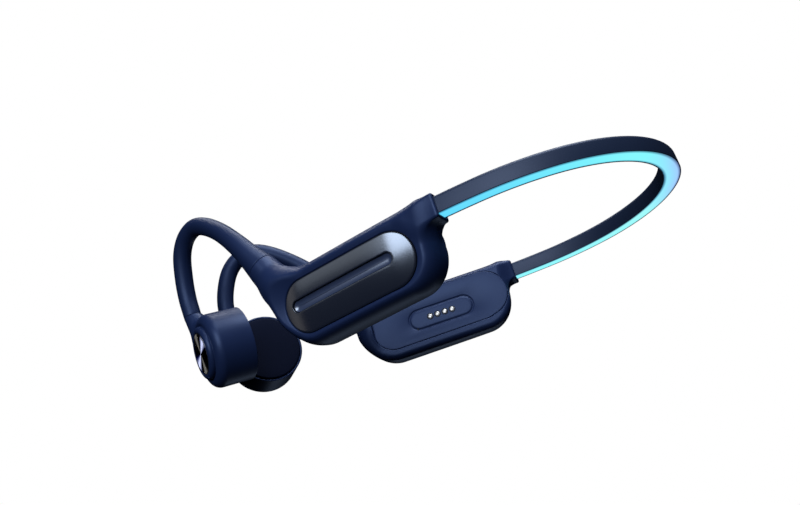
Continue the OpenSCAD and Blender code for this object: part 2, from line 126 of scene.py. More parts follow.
def soft_box(name, towards, size, power, colour=(1, 1, 1), distance=500):
    """An area light aimed at the object. It lies towards the camera's right, top and back by towards."""
    data = bpy.data.lights.new(name, "AREA")
    data.shape = "RECTANGLE"
    data.size = size[0] * MM
    data.size_y = size[1] * MM
    data.energy = power
    data.color = colour
    light = bpy.data.objects.new(name, data)
    way = (view_right * towards[0] + view_up * towards[1] - view_forward * towards[2]).normalized()
    light.location = LIGHT_TARGET + way * distance * MM
    light.rotation_mode = "QUATERNION"
    light.rotation_quaternion = way.to_track_quat("Z", "Y")
    light.visible_camera = False
    bpy.context.scene.collection.objects.link(light)
    return light


# ---- Where the pieces are: the band's rearmost point and height, and the directions of a module and a pod
REAR_Y = 74.99
BAND_Z = 18.033


def axes(lean, turn):
    """Directions of a piece leaned about Y and then turned about Z: its own x, y and z as rows."""
    a, b = math.radians(lean), math.radians(turn)
    return np.array([
        (math.cos(a) * math.cos(b), math.cos(a) * math.sin(b), -math.sin(a)),
        (-math.sin(b), math.cos(b), 0.0),
        (math.sin(a) * math.cos(b), math.sin(a) * math.sin(b), math.cos(a)),
    ])


class Place:
    """A piece's own directions and centre, to take its points out into the frame and back in."""

    def __init__(self, centre, lean, turn):
        self.centre = np.array(centre, float)
        self.axes = axes(lean, turn)

    def out(self, points):
        return np.asarray(points, float) @ self.axes + self.centre

    def into(self, points):
        return (np.asarray(points, float) - self.centre) @ self.axes.T


MODULE = Place((32.6, REAR_Y - 86, BAND_Z - 7), 6.6, -13)
POD = Place((17.3, REAR_Y - 145.7, BAND_Z - 3.1), 5.1, -43.7)


# ---- Tools for shapes
def smooth_union(a, b, k):
    """Circular fillet of radius k between two distance fields."""
    return np.maximum(k, np.minimum(a, b)) - np.hypot(np.maximum(k - a, 0), np.maximum(k - b, 0))


def cut(a, b, k):
    """Field a with field b taken away, with an edge rounded to radius k."""
    return -smooth_union(-a, b, k)


def round_cone(p, a, b):
    """Distance to a straight limb between two balls, [x, y, z, radius]."""
    a, b = np.asarray(a, float), np.asarray(b, float)
    ab = b[:3] - a[:3]
    t = np.clip(((p - a[:3]) @ ab) / (ab @ ab), 0, 1)
    return np.linalg.norm(p - a[:3] - t[:, None] * ab, axis=1) - (a[3] + (b[3] - a[3]) * t)


def bent_limb(p, balls, k):
    """Distance to a limb through three balls, filleted at its bend."""
    first, middle, last = balls
    return smooth_union(round_cone(p, first, middle), round_cone(p, middle, last), k)


def obround_distance(y, z, length, height, cy, cz):
    """Distance to a slot shape: two half circles of the given height, joined by straights."""
    return np.hypot(np.maximum(np.abs(y - cy) - (length - height) / 2, 0), z - cz) - height / 2


class Outline:
    """Signed distance to a closed 2-D outline, kept on a fine grid."""

    def __init__(self, points, step=0.1, margin=9.0):
        points = np.asarray(points, float)
        self.low = points.min(0) - margin
        self.step = step
        count = np.ceil((points.max(0) + margin - self.low) / step).astype(int) + 2
        u = self.low[0] + step * np.arange(count[0])
        v = self.low[1] + step * np.arange(count[1])
        p = np.stack(np.meshgrid(u, v, indexing="ij"), -1).reshape(-1, 2)
        best = np.full(len(p), 1e9)
        inside = np.zeros(len(p), bool)
        for a, b in zip(points, np.roll(points, -1, 0)):
            ab = b - a
            d = p - a
            t = np.clip((d @ ab) / max(ab @ ab, 1e-12), 0, 1)
            best = np.minimum(best, ((d - t[:, None] * ab) ** 2).sum(1))
            crosses = (a[1] > p[:, 1]) != (b[1] > p[:, 1])
            if ab[1] != 0:
                inside ^= crosses & (p[:, 0] < a[0] + (p[:, 1] - a[1]) * ab[0] / ab[1])
        self.grid = np.where(inside, -1, 1).reshape(count) * np.sqrt(best).reshape(count)

    def __call__(self, u, v):
        fu = np.clip((u - self.low[0]) / self.step, 0, self.grid.shape[0] - 1.001)
        fv = np.clip((v - self.low[1]) / self.step, 0, self.grid.shape[1] - 1.001)
        i, j = fu.astype(int), fv.astype(int)
        s, t = fu - i, fv - j
        g = self.grid
        return ((g[i, j] * (1 - s) + g[i + 1, j] * s) * (1 - t)
                + (g[i, j + 1] * (1 - s) + g[i + 1, j + 1] * s) * t)


SMALLEST_CORNER = 0.8


def hull_of_circles(circles, steps, inset=0.0):
    """The outline drawn tight round some circles, [y, z, radius], as a list of points."""
    angles = np.linspace(0, 2 * math.pi, steps, endpoint=False)
    normals = np.stack([np.cos(angles), np.sin(angles)], 1)
    centres = np.array([c[:2] for c in circles], float)
    radii = np.maximum(np.array([c[2] for c in circles], float) - inset, SMALLEST_CORNER)
    reach = centres @ normals.T + radii[:, None]
    best = reach.argmax(0)
    return centres[best] + radii[best, None] * normals


def put(name, points, faces, place=None, side=1, sharp=None):
    """A mesh object from points in millimetres, mirrored for the right side."""
    points = np.asarray(points, float)
    if place is not None:
        points = place.out(points)
    points = points * MM
    faces = [tuple(int(k) for k in f) for f in faces]
    if side < 0:
        points = points * (-1, 1, 1)
        faces = [f[::-1] for f in faces]
    mesh = bpy.data.meshes.new(name)
    mesh.from_pydata([tuple(p) for p in points], [], faces)
    mesh.validate()
    mesh.shade_smooth()
    if sharp is not None:
        mesh.set_sharp_from_angle(angle=math.radians(sharp))
    obj = bpy.data.objects.new(name, mesh)
    bpy.context.scene.collection.objects.link(obj)
    return obj


SURFACE_ROUNDS = 3
LEAST_SLOPE = 0.05


def field_surface(field, low, high, voxel):
    """Points and faces where a distance field is zero, moved on to the exact surface."""
    low, high = np.asarray(low, float), np.asarray(high, float)
    count = np.ceil((high - low) / voxel).astype(int) + 1
    lines = [low[k] + voxel * np.arange(count[k]) for k in range(3)]
    values = np.empty(count, np.float32)
    for i, x in enumerate(lines[0]):
        yy, zz = np.meshgrid(lines[1], lines[2], indexing="ij")
        p = np.stack([np.full(yy.size, x), yy.ravel(), zz.ravel()], 1)
        values[i] = field(p).reshape(yy.shape)
    grid = openvdb.FloatGrid(3.0)
    grid.copyFromArray(values)
    points, triangles, quads = grid.convertToPolygons(isovalue=0.0, adaptivity=0.0)
    points = low + points.astype(float) * voxel
    step = voxel * 0.2
    for _ in range(SURFACE_ROUNDS):
        value = field(points)
        slope = np.stack([(field(points + step * e) - field(points - step * e)) / (2 * step)
                          for e in np.eye(3)], 1)
        size = np.maximum((slope ** 2).sum(1), LEAST_SLOPE)
        points = points - np.clip(value / size, -voxel, voxel)[:, None] * slope
    faces = [f[::-1] for f in quads.tolist()] + [f[::-1] for f in triangles.tolist()]
    return points, faces


def loft(rings, last_closed=True):
    """Faces between rings of points, with a fan over the first ring and, if it is closed, the last."""
    rings = [np.asarray(r, float) for r in rings]
    sides = len(rings[0])
    faces = []
    for i in range(len(rings) - 1):
        a, b = i * sides, (i + 1) * sides
        for k in range(sides):
            n = (k + 1) % sides
            faces.append((a + k, a + n, b + n, b + k))
    points = np.vstack([*rings, rings[0].mean(0)])
    centre = len(points) - 1
    faces += [((k + 1) % sides, k, centre) for k in range(sides)]
    if last_closed:
        points = np.vstack([points, rings[-1].mean(0)])
        last = (len(rings) - 1) * sides
        faces += [(last + k, last + (k + 1) % sides, centre + 1) for k in range(sides)]
    return points, faces


def revolve(profile, sides=160):
    """Points [radius, x] turned about the x axis, and closed at both ends."""
    angles = np.linspace(0, 2 * math.pi, sides, endpoint=False)
    return loft([np.stack([np.full(sides, x), r * np.cos(angles), r * np.sin(angles)], 1)
                 for r, x in profile])


def joined(meshes):
    """One mesh's points and faces from several."""
    points, faces = [], []
    count = 0
    for own_points, own_faces in meshes:
        points.append(own_points)
        faces += [tuple(k + count for k in face) for face in own_faces]
        count += len(own_points)
    return np.vstack(points), faces


def flipped(mesh):
    """The same mesh with its faces turned over."""
    points, faces = mesh
    return points, [face[::-1] for face in faces]


def arc(cx, cy, radius, start, end, steps):
    """Points on an arc between two angles in degrees, with both its ends."""
    angles = np.radians(np.linspace(start, end, steps + 1))
    return [(cx + radius * math.cos(a), cy + radius * math.sin(a)) for a in angles]


def obround_ring(length, height, cy, cz, x):
    """A ring of points on a slot shape, always in the same order, so that rings can be lofted."""
    quarter, straight = 24, 40
    half, r = (length - height) / 2, height / 2
    ring = []
    for side, start in ((1, -90), (-1, 90)):
        for a in np.radians(np.linspace(start, start + 180, 2 * quarter + 1)):
            ring.append((cy + side * half + r * math.cos(a), cz + r * math.sin(a)))
        for t in np.linspace(0, 1, straight + 1)[1:-1]:
            ring.append((cy + side * half * (1 - 2 * t), cz + side * r))
    ring = np.array(ring)
    return np.column_stack([np.full(len(ring), x), ring])


# ---- Materials
# The sockets of a Mix node that mixes colours
MIX_FACTOR, MIX_A, MIX_B, MIX_RESULT = 0, 6, 7, 2
BLACK, WHITE = (0, 0, 0), (1, 1, 1)
BUMP_HEIGHT = 0.02 * MM


def new_material(name):
    material = bpy.data.materials.new(name)
    material.use_nodes = True
    nodes = material.node_tree.nodes
    return material, nodes, material.node_tree.links, nodes["Principled BSDF"]


def add(nodes, kind, **values):
    """A new node, with values for its sockets or for its own settings."""
    node = nodes.new(kind)
    for key, value in values.items():
        if key in node.inputs:
            node.inputs[key].default_value = value
        else:
            setattr(node, key, value)
    return node


def colour_ramp(nodes, links, source, stops, interpolation="LINEAR"):
    """A ramp through [position, colour] stops, of which the first is at 0 and the last at 1."""
    ramp = add(nodes, "ShaderNodeValToRGB")
    ramp.color_ramp.interpolation = interpolation
    elements = ramp.color_ramp.elements
    for position, colour in stops[1:-1]:
        elements.new(position).color = (*colour, 1)
    elements[0].color = (*stops[0][1], 1)
    elements[-1].color = (*stops[-1][1], 1)
    links.new(source, ramp.inputs["Fac"])
    return ramp.outputs["Color"]


def map_outputs(nodes, links):
    """The two coordinates of a piece's own map."""
    where = add(nodes, "ShaderNodeTexCoord")
    apart = add(nodes, "ShaderNodeSeparateXYZ")
    links.new(where.outputs["UV"], apart.inputs[0])
    return apart.outputs["X"], apart.outputs["Y"]


def plastic(name, colour, roughness, grain=6000.0, bump=0.03, variation=0.12, coat=0.0, tint=None,
            spread=0.06, specular=0.5, sheen=WHITE):
    """Moulded plastic or silicone: fine grain, slight colour drift, patches more and less polished."""
    material, nodes, links, shader = new_material(name)
    where = add(nodes, "ShaderNodeTexCoord")
    drift = add(nodes, "ShaderNodeTexNoise", Scale=70.0, Detail=3.0)
    fine = add(nodes, "ShaderNodeTexNoise", Scale=grain, Detail=2.0)
    links.new(where.outputs["Object"], drift.inputs["Vector"])
    links.new(where.outputs["Object"], fine.inputs["Vector"])
    mix = add(nodes, "ShaderNodeMix", data_type="RGBA")
    other = tint or tuple(c * (1 + variation) for c in colour)
    mix.inputs[MIX_A].default_value = (*colour, 1)
    mix.inputs[MIX_B].default_value = (*other, 1)
    links.new(drift.outputs["Fac"], mix.inputs[MIX_FACTOR])
    links.new(mix.outputs[MIX_RESULT], shader.inputs["Base Color"])
    polish = add(nodes, "ShaderNodeMapRange")
    polish.inputs["To Min"].default_value = roughness - spread / 2
    polish.inputs["To Max"].default_value = roughness + spread / 2
    links.new(drift.outputs["Fac"], polish.inputs["Value"])
    links.new(polish.outputs["Result"], shader.inputs["Roughness"])
    ripple = add(nodes, "ShaderNodeBump", Strength=bump, Distance=BUMP_HEIGHT)
    links.new(fine.outputs["Fac"], ripple.inputs["Height"])
    links.new(ripple.outputs["Normal"], shader.inputs["Normal"])
    shader.inputs["Specular IOR Level"].default_value = specular
    shader.inputs["Specular Tint"].default_value = (*sheen, 1)
    shader.inputs["Coat Weight"].default_value = coat
    return material


def metal(name, colour, roughness):
    """Bare metal, with a fine grain and a slight drift of its colour and polish."""
    material = plastic(name, colour, roughness, grain=4000.0, bump=0.05, variation=0.05)
    material.node_tree.nodes["Principled BSDF"].inputs["Metallic"].default_value = 1.0
    return material


def spun_metal():
    """A turned disc, brushed in circles for an anisotropic shine, with bright and dark sectors of reflected
    light painted into its colour and specular tint.
    """
    material, nodes, links, shader = new_material("spun_metal")
    shader.inputs["Metallic"].default_value = 1.0
    turns, radius = map_outputs(nodes, links)
    # Painted reflections: bright and dark wedges of light, painted by angle round the disc into the base
    # colour and the specular tint.
    black, dusk = (0.008, 0.008, 0.01), (0.07, 0.072, 0.105)
    cool, warm = (0.7, 0.72, 0.88), (0.3, 0.29, 0.27)
    half = [(0.05, cool), (0.08, cool), (0.125, black), (0.17, black), (0.21, warm), (0.26, warm),
            (0.32, black), (0.42, dusk)]
    stops = [(0.0, black), *half, (0.5, dusk)]
    stops += [(0.5 + position, colour) for position, colour in half] + [(1.0, black)]
    turn = add(nodes, "ShaderNodeMath", operation="FRACT")
    links.new(turns, turn.inputs[0])
    painted_reflection_sectors = colour_ramp(nodes, links, turn.outputs[0], stops, "B_SPLINE")
    links.new(painted_reflection_sectors, shader.inputs["Base Color"])
    links.new(painted_reflection_sectors, shader.inputs["Specular Tint"])
    rings = add(nodes, "ShaderNodeTexNoise", noise_dimensions="1D", Scale=60.0, Detail=3.0)
    links.new(radius, rings.inputs["W"])
    rough = add(nodes, "ShaderNodeMapRange")
    rough.inputs["To Min"].default_value = 0.22
    rough.inputs["To Max"].default_value = 0.36
    links.new(rings.outputs["Fac"], rough.inputs["Value"])
    links.new(rough.outputs["Result"], shader.inputs["Roughness"])
    shader.inputs["Anisotropic"].default_value = 0.85
    tangent = add(nodes, "ShaderNodeTangent", direction_type="UV_MAP")
    links.new(tangent.outputs["Tangent"], shader.inputs["Tangent"])
    ripple = add(nodes, "ShaderNodeBump", Strength=0.05, Distance=BUMP_HEIGHT)
    links.new(rings.outputs["Fac"], ripple.inputs["Height"])
    links.new(ripple.outputs["Normal"], shader.inputs["Normal"])
    return material


def light_strip():
    """Lit silicone: cyan, bluer by the left module, lavender outside the rear bend, dimmer at its edges."""
    material, nodes, links, shader = new_material("light_strip")
    length, width = map_outputs(nodes, links)
    along = colour_ramp(nodes, links, length, (
        (0.0, (0.27, 0.95, 1.0)), (0.3, (0.35, 0.96, 0.95)), (0.5, (0.25, 0.92, 1.0)),
        (0.7, (0.23, 0.94, 1.0)), (0.85, (0.16, 0.82, 1.0)), (1.0, (0.11, 0.68, 1.0))))
    across = colour_ramp(nodes, links, width, (
        (0.0, (0.28, 0.86, 1.0)), (0.45, (0.31, 0.74, 1.0)), (1.0, (0.37, 0.58, 1.0))))
    bend = colour_ramp(nodes, links, length, (
        (0.0, BLACK), (0.3, BLACK), (0.42, WHITE), (0.54, WHITE), (0.66, BLACK), (1.0, BLACK)))
    edges = colour_ramp(nodes, links, width, (
        (0.0, (0.16, 0.2, 0.3)), (0.16, WHITE), (0.84, WHITE), (1.0, (0.3, 0.28, 0.34))))
    mix = add(nodes, "ShaderNodeMix", data_type="RGBA")
    links.new(bend, mix.inputs[MIX_FACTOR])
    links.new(along, mix.inputs[MIX_A])
    links.new(across, mix.inputs[MIX_B])
    dim = add(nodes, "ShaderNodeMix", data_type="RGBA", blend_type="MULTIPLY")
    dim.inputs[MIX_FACTOR].default_value = 1.0
    links.new(mix.outputs[MIX_RESULT], dim.inputs[MIX_A])
    links.new(edges, dim.inputs[MIX_B])
    shader.inputs["Base Color"].default_value = (0.03, 0.2, 0.3, 1)
    shader.inputs["Roughness"].default_value = 0.4
    links.new(dim.outputs[MIX_RESULT], shader.inputs["Emission Color"])
    shader.inputs["Emission Strength"].default_value = 1.0
    return material


NAVY = (0.0115, 0.0225, 0.075)
SHEEN = (0.42, 0.58, 1.0)  # a navy surface reflects bluish
finishes = {
    "shell": plastic("shell", NAVY, 0.42, bump=0.05, sheen=SHEEN),
    "hook_silicone": plastic("hook_silicone", (0.0095, 0.019, 0.064), 0.45, bump=0.08, sheen=SHEEN),
    "band_silicone": plastic("band_silicone", (0.013, 0.023, 0.055), 0.45, bump=0.08,
                             sheen=(0.6, 0.72, 1.0)),
    "glossy_panel": plastic("glossy_panel", (0.006, 0.007, 0.011), 0.2, bump=0.0, variation=0.02,
                            spread=0.02),
    "touch_strip": plastic("touch_strip", (0.012, 0.016, 0.030), 0.32, bump=0.02, coat=0.1, specular=0.55),
    "contact_pad": plastic("contact_pad", (0.0032, 0.0048, 0.017), 0.6, bump=0.1, specular=0.12,
                           sheen=SHEEN),
    "dock_plate": plastic("dock_plate", NAVY, 0.4, bump=0.05, sheen=SHEEN),
    "gasket": plastic("gasket", (0.004, 0.004, 0.005), 0.6),
    "cable_jacket": plastic("cable_jacket", (0.01, 0.01, 0.012), 0.5),
    "circuit_board": plastic("circuit_board", (0.01, 0.07, 0.03), 0.35, tint=(0.02, 0.12, 0.06)),
    "switch_body": plastic("switch_body", (0.02, 0.02, 0.022), 0.4),
    "titanium_wire": metal("titanium_wire", (0.35, 0.35, 0.38), 0.3),
    "ferrule_steel": metal("ferrule_steel", (0.5, 0.5, 0.52), 0.25),
    "exciter_steel": metal("exciter_steel", (0.4, 0.41, 0.43), 0.35),
    "magnet": metal("magnet", (0.55, 0.55, 0.56), 0.15),
    "copper_wire": metal("copper_wire", (0.6, 0.25, 0.12), 0.3),
    "microphone_can": metal("microphone_can", (0.65, 0.5, 0.25), 0.3),
    "battery_foil": metal("battery_foil", (0.5, 0.51, 0.53), 0.35),
    "contact_plating": metal("contact_plating", (0.6, 0.59, 0.57), 0.42),
    "light_strip": light_strip(),
    "spun_metal": spun_metal(),
}


def wear(obj, slot):
    """Give a piece its finish."""
    obj.data.materials.append(finishes[slot])


def finish_piece(obj, body, slot, *nodes):
    """Finish a piece that rides on one body, and may stand for some of the CAD's nodes."""
    wear(obj, slot)
    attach(obj, body)
    if nodes:
        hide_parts(*nodes)


# ---- Side module, in its own directions: x away from the head, y to the band, z up.
# Corners are [y, z, radius] of the circles that the outline is drawn round
OUTER_X = 5.3
FRONT_LOW = (-13.9, -1.4, 10.1)
FRONT_TOP = (-16.5, 4.2, 7.3)
REAR_LOW = (16.6, -1.2, 10)
CORNERS = [FRONT_LOW, FRONT_TOP, REAR_LOW, (25.6, 8.75, 2.8)]
PANEL_LENGTH, PANEL_HEIGHT, PANEL_Y, PANEL_Z = 43.2, 14.8, 0.6, -0.25
GROOVE_LENGTH, GROOVE_WIDTH, GROOVE_Y, GROOVE_Z = 33.8, 3.3, -1.1, 0.5
GROOVE_GAP = 0.3
PANEL_FLOOR = OUTER_X - 1.1
CROWN = 0.55
HOOK_GAP = 0.06
COVER_INSET = 3.3
COVER_DEPTH = 1.3
COVER_CORNERS = [FRONT_LOW, (-16.5, 4.6, 7.3), REAR_LOW, (18.2, 0.7, 8 + COVER_INSET)]
# How far the body's long edges are rounded, [across the outline, along x]: the outer edge, and the
# inner edge below INNER_FROM and above it by INNER_OVER
OUT_INSET, OUT_TAPER = 3.2, 8.2
IN_LOW, IN_HIGH = (1.9, 1.9), (3.3, 7.5)
INNER_FROM, INNER_OVER = -3, 8
# How the outer face falls away to the rear and to the front: [way along y, start, length, depth, most]
FALLS = ((1, 5, 17, 0.8, 1.4), (-1, 8, 14, 0.6, 1.2))
# The neck that joins the hook to the body: [x, y, z, radius]. Its end faces the hook's second point
# from NECK_AIM
NECK = [(0.5, -27.1, 16.7, 4.5), (0.3, -23.6, 9.6, 5.2), (-0.2, -20.6, 3.4, 5.3)]
NECK_AIM = (0.6, -24.0, 11.6)
DOCK_Y, DOCK_Z, DOCK_LENGTH, DOCK_HEIGHT = 2.9, -0.9, 22.4, 7.2
CONTACT_PITCH, CONTACT_RADIUS, CONTACT_RIM, CONTACTS = 2.54, 0.84, 1.12, 4

# The points that the hook's middle line runs smoothly through: [x, y, z, radius]
HOOK_ROUTE = [
    (0.5, -27.1, 16.7, 4.5), (0.4, -30.2, 21.8, 3.6), (-0.6, -34, 27.3, 3.15),
    (-3, -40.4, 34.4, 2.9), (-6, -47.9, 40.2, 2.85), (-7.8, -54, 42.8, 2.8),
    (-8.6, -59.5, 41.6, 2.8), (-9.1, -63.6, 37.4, 2.85), (-9.5, -66.2, 30.5, 2.85),
    (-9.4, -67.2, 24, 2.8), (-8.7, -66.7, 17.6, 2.75),
]

# The band's three arcs on each side: the angle where each ends, from straight back, and its radius
ARC_ENDS = (70.5, 90.5, 94.5)
ARC_RADII = (40.6, 54.0, 146.0)


def band_normal(phi):
    """The way out of the band, level, at an angle round it."""
    return np.array([math.sin(math.radians(phi)), math.cos(math.radians(phi))])


ARC_CENTRES = [np.array([0.0, REAR_Y - ARC_RADII[0]])]
ARC_CENTRES.append(ARC_CENTRES[0] + (ARC_RADII[0] - ARC_RADII[1]) * band_normal(ARC_ENDS[0]))
ARC_CENTRES.append(ARC_CENTRES[1] + (ARC_RADII[1] - ARC_RADII[2]) * band_normal(ARC_ENDS[1]))

body_outline = Outline(hull_of_circles(CORNERS, 160))
cover_outline = Outline(hull_of_circles(COVER_CORNERS, 160, COVER_INSET))


def falling(y):
    """How far the outer face falls away towards the module's two ends."""
    return sum(depth * np.clip((way * y - start) / length, 0, most) ** 2
               for way, start, length, depth, most in FALLS)


def eased(t):
    """From 0 to 1 with a level start and end."""
    t = np.clip(t, 0, 1)
    return t * t * (3 - 2 * t)


def elliptic(q, x, inset, taper, face):
    """Distance to an edge rounded to a quarter of an ellipse; not a number where that edge isn't near."""
    u = np.maximum(q + inset, 0) / inset
    v = np.maximum(x - (face - taper), 0) / taper
    reach = np.hypot(u, v)
    near = (reach - 1) * reach / np.maximum(np.hypot(u / inset, v / taper), 1e-6)
    return np.where((u > 0) & (v > 0), near, np.nan)


def pillow(p):
    """The module's body: widest at its middle, tapering to the panel and rounded to the cover."""
    q = body_outline(p[:, 1], p[:, 2])
    x = p[:, 0] + np.where(p[:, 0] > 0, falling(p[:, 1]) * np.clip(p[:, 0] / OUTER_X, 0, 1), 0)
    result = np.maximum(q, np.abs(x) - OUTER_X)
    outer = elliptic(q, x, OUT_INSET, OUT_TAPER, OUTER_X)
    high = eased((p[:, 2] - INNER_FROM) / INNER_OVER)
    inset, taper = (low * (1 - high) + top * high for low, top in zip(IN_LOW, IN_HIGH))
    inner = elliptic(q, -x, inset, taper, OUTER_X)
    both = np.isfinite(outer) & np.isfinite(inner)
    meet = -smooth_union(-np.where(both, outer, 0.0), -np.where(both, inner, 0.0), 0.4)
    result = np.where(np.isnan(outer), result, outer)
    result = np.where(np.isnan(inner), result, inner)
    return np.where(both, meet, result)


# Where the band goes into the module: the place, and the ways out of the band and back along it
MOUTH_PHI = ARC_ENDS[2] + 0.1
mouth_at = np.append(ARC_CENTRES[2] + ARC_RADII[2] * band_normal(MOUTH_PHI), BAND_Z)
mouth_out = np.append(band_normal(MOUTH_PHI), 0)
mouth_back = np.array([-mouth_out[1], mouth_out[0], 0.0])


def rounded_box(along, across, up, half, radius):
    """Distance to a box with rounded edges, from three coordinates and its half sizes along them."""
    past = [np.abs(way) - reach + radius for way, reach in zip((along, across, up), half)]
    outside = np.sqrt(sum(np.maximum(q, 0) ** 2 for q in past))
    return outside + np.minimum(np.maximum(np.maximum(past[0], past[1]), past[2]), 0) - radius


def with_clean_end(shape, p, above, end):
    """A shape cut off square where it meets the hook; only what is higher than above is cut."""
    return cut(shape, -np.where(p[:, 2] > above, end, -50.0), 0.12)


def shell_field(p):
    """The body with its neck, the collar round the band's mouth, and the hollows cut into it."""
    neck = bent_limb(p, NECK, 1.5)
    shape = smooth_union(pillow(p), neck, 7.0)
    world = MODULE.out(p) - mouth_at
    along, across, up = world @ mouth_back, world @ mouth_out, world[:, 2]
    deep = eased(-along / 11)
    half = (5, 3.8 - 1.5 * deep, 3.35 - 1.3 * deep)
    collar = rounded_box(along + 5, across + 1.0 * deep, up + 0.2 + 1.6 * deep, half, 0.7)
    shape = smooth_union(shape, collar, 4.0)
    panel = obround_distance(p[:, 1], p[:, 2], PANEL_LENGTH, PANEL_HEIGHT, PANEL_Y, PANEL_Z)
    rim = OUTER_X - 0.1 - falling(p[:, 1]) + 0.4 * np.maximum(panel, 0)
    shape = cut(shape, rim - p[:, 0], 0.6)
    slot = rounded_box(along - 2, across, up, (4.5, 3.05, 2.65), 0.6)
    shape = cut(shape, slot, 0.3)
    pocket = np.maximum(panel - 0.08, PANEL_FLOOR - 0.8 - p[:, 0])
    shape = cut(shape, pocket, 0.2)
    lid = np.maximum(cover_outline(p[:, 1], p[:, 2]) - 0.06, p[:, 0] + OUTER_X - COVER_DEPTH)
    shape = cut(shape, lid, 0.1)
    ahead = np.array(HOOK_ROUTE[1][:3]) - NECK_AIM
    ahead = ahead / np.linalg.norm(ahead)
    return with_clean_end(shape, p, 8, (p - HOOK_ROUTE[0][:3]) @ ahead + HOOK_GAP)


shell_mesh = field_surface(shell_field, (-8, -35, -12), (9, 36, 24), 0.24)


def crown(y, z):
    """Height of the panel's crowned face above its rim."""
    q = obround_distance(y, z, PANEL_LENGTH, PANEL_HEIGHT, PANEL_Y, PANEL_Z)
    t = np.clip(1 + q / (PANEL_HEIGHT / 2), 0, 1)
    return OUTER_X - 0.1 + CROWN * (1 - t ** 2) - falling(y)


def panel_rings():
    """From the rim's foot, over the rounded rim, across the crown to the groove's edge."""
    rings = [obround_ring(PANEL_LENGTH, PANEL_HEIGHT, PANEL_Y, PANEL_Z, PANEL_FLOOR - 0.8)]
    for inset, drop in ((0.0, 0.3), (0.03, 0.16), (0.09, 0.06), (0.2, 0.0)):
        ring = obround_ring(PANEL_LENGTH - 2 * inset, PANEL_HEIGHT - 2 * inset, PANEL_Y, PANEL_Z, 0)
        ring[:, 0] = crown(ring[:, 1], ring[:, 2]) - drop
        rings.append(ring)
    outer = rings[-1]
    length, width = GROOVE_LENGTH + GROOVE_GAP, GROOVE_WIDTH + GROOVE_GAP
    inner = obround_ring(length, width, GROOVE_Y, GROOVE_Z, 0)
    for t in np.linspace(0, 1, 13)[1:]:
        ring = outer * (1 - t) + inner * t
        ring[:, 0] = crown(ring[:, 1], ring[:, 2])
        rings.append(ring)
    for inset, drop in ((0.1, 0.03), (0.15, 0.1), (0.15, 0.8)):
        ring = obround_ring(length - 2 * inset, width - 2 * inset, GROOVE_Y, GROOVE_Z, 0)
        ring[:, 0] = crown(ring[:, 1], ring[:, 2]) - drop
        rings.append(ring)
    return rings


def trough_rings():
    """The touch strip's hollow face, deepest along its middle."""
    gap = 0.18
    rings = [obround_ring(GROOVE_LENGTH - 2 * gap, GROOVE_WIDTH - 2 * gap, GROOVE_Y, GROOVE_Z,
                          PANEL_FLOOR - 0.4)]
    half = GROOVE_WIDTH / 2
    for inset in (gap, 0.22, 0.3, 0.42, 0.6, 0.8, 1.05, 1.3, 1.5, 1.6):
        ring = obround_ring(GROOVE_LENGTH - 2 * inset, GROOVE_WIDTH - 2 * inset, GROOVE_Y, GROOVE_Z, 0)
        t = 1 - inset / half
        ring[:, 0] = crown(ring[:, 1], ring[:, 2]) - 0.4 - 0.65 * (1 - t ** 2)
        rings.append(ring)
    return rings


def ring_of(outline, x):
    """An outline's points, [y, z], at one x."""
    return np.column_stack([np.full(len(outline), x), outline])


def cover_rings(dock):
    """The inner cover: a rounded rim, a flat face, and on the right the dock's soft groove."""
    face = -OUTER_X - 0.02
    sides = 192
    rings = []
    for inset, depth in ((0.0, 1.2), (0.0, 0.2), (0.03, 0.08), (0.09, 0.02), (0.2, 0.0), (0.8, 0.0)):
        outline = hull_of_circles(COVER_CORNERS, sides, COVER_INSET + inset)
        rings.append(ring_of(outline, face + depth))
    if not dock:
        return rings
    angles = np.linspace(0, 2 * math.pi, sides, endpoint=False)
    normals = np.stack([np.cos(angles), np.sin(angles)], 1)
    half = (DOCK_LENGTH - DOCK_HEIGHT) / 2
    centres = np.where(normals[:, :1] > 0, [[half, 0]], [[-half, 0]]) + [DOCK_Y, DOCK_Z]
    for grow, depth in ((0.35, 0.0), (0.15, 0.1), (0.0, 0.28), (-0.15, 0.36), (-0.35, 0.3),
                        (-0.6, 0.12), (-0.9, 0.05), (-1.6, 0.03)):
        rings.append(ring_of(centres + (DOCK_HEIGHT / 2 + grow) * normals, face + depth))
    return rings


panel_mesh = loft(panel_rings(), last_closed=False)
trough_mesh = loft(trough_rings())

for side, sign in SIDES.items():
    arm = side + "_arm"
    shell = put(side + "_shell", *shell_mesh, MODULE, sign)
    finish_piece(shell, arm, "shell", side + "_module_shell")
    panel = put(side + "_panel", *panel_mesh, MODULE, sign, sharp=50)
    finish_piece(panel, arm, "glossy_panel", side + "_glossy_panel")
    trough = put(side + "_touch_trough", *trough_mesh, MODULE, sign, sharp=50)
    finish_piece(trough, arm, "touch_strip", side + "_touch_strip")
    cover_mesh = flipped(loft(cover_rings(side == "right")))
    cover = put(side + "_cover", *cover_mesh, MODULE, sign, sharp=60)
    nodes = [side + "_module_cover"] + (["dock_plate"] if side == "right" else [])
    finish_piece(cover, arm, "shell", *nodes)


